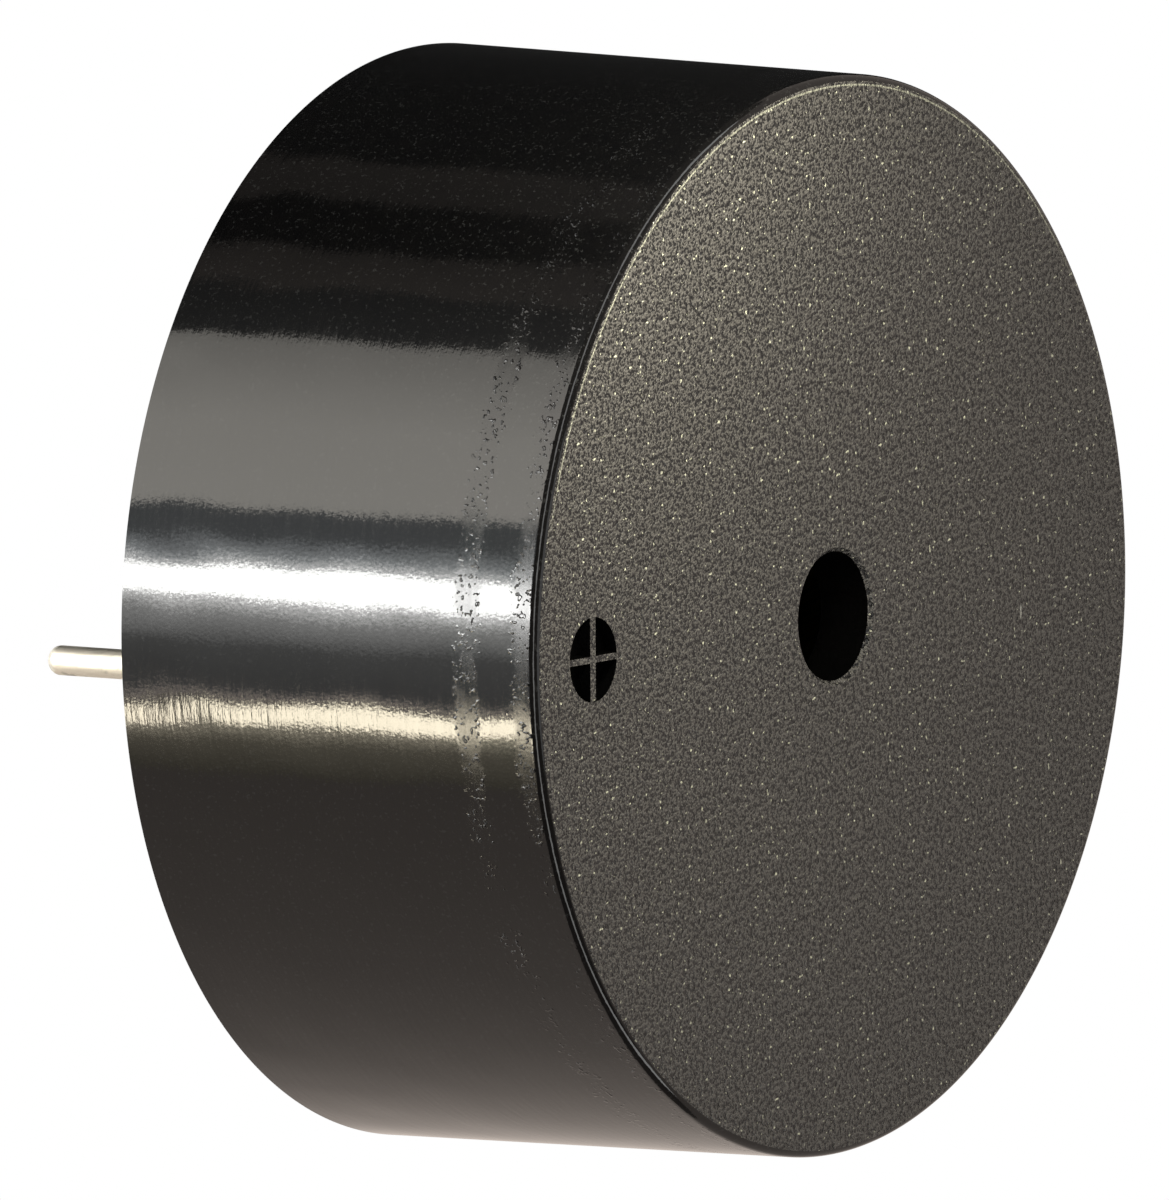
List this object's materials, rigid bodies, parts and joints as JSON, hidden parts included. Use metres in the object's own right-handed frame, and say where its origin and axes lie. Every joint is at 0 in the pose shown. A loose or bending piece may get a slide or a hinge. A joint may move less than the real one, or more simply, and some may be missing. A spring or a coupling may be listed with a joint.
{
  "type": "electronic buzzer",
  "caption": "Round piezo buzzer for a circuit board: moulded case with one sound hole in its grained face, a glued piezo diaphragm, a drive board, and pins through the resin at the back.",
  "frame": {"origin": "centre of the rear rim of the case, which seats on the circuit board that carries the buzzer", "axes": "+Z out of the sound hole, +X from the centre to the positive pin"},
  "size_m": [0.022, 0.022, 0.0147],
  "materials": {
    "case_plastic": "polished side, spark-eroded grain on the front face",
    "plate_brass": "rolled",
    "silicone": "satin",
    "piezo_ceramic": "matt, fired",
    "electrode_silver": "fired silver, satin",
    "board_laminate": "woven glass laminate",
    "copper": "etched foil",
    "transistor_plastic": "moulded",
    "tinned_metal": "tin plate",
    "resistor_ceramic": "glazed",
    "pin_metal": "tin plate, lightly marked",
    "solder": "bright",
    "lead_red": "smooth",
    "lead_blue": "smooth",
    "lead_black": "smooth",
    "resin": "poured, glossy"
  },
  "bodies": {
    "root": {"case": "case_plastic", "diaphragm_plate": "plate_brass", "diaphragm_bead": "silicone", "ceramic_disc": "piezo_ceramic", "main_electrode": "electrode_silver", "feedback_electrode": "electrode_silver", "circuit_board": "board_laminate", "board_copper": "copper", "transistor_body": "transistor_plastic", "transistor_legs": "tinned_metal", "load_resistor": "resistor_ceramic", "bias_resistor": "resistor_ceramic", "feedback_resistor": "resistor_ceramic", "resistor_caps": "tinned_metal", "positive_pin": "pin_metal", "negative_pin": "pin_metal", "pin_solder": "solder", "main_lead": "lead_red", "feedback_lead": "lead_blue", "ground_lead": "lead_black", "board_wire_solder": "solder", "piezo_wire_solder": "solder", "potting_resin": "resin"}
  },
  "joints": []
}
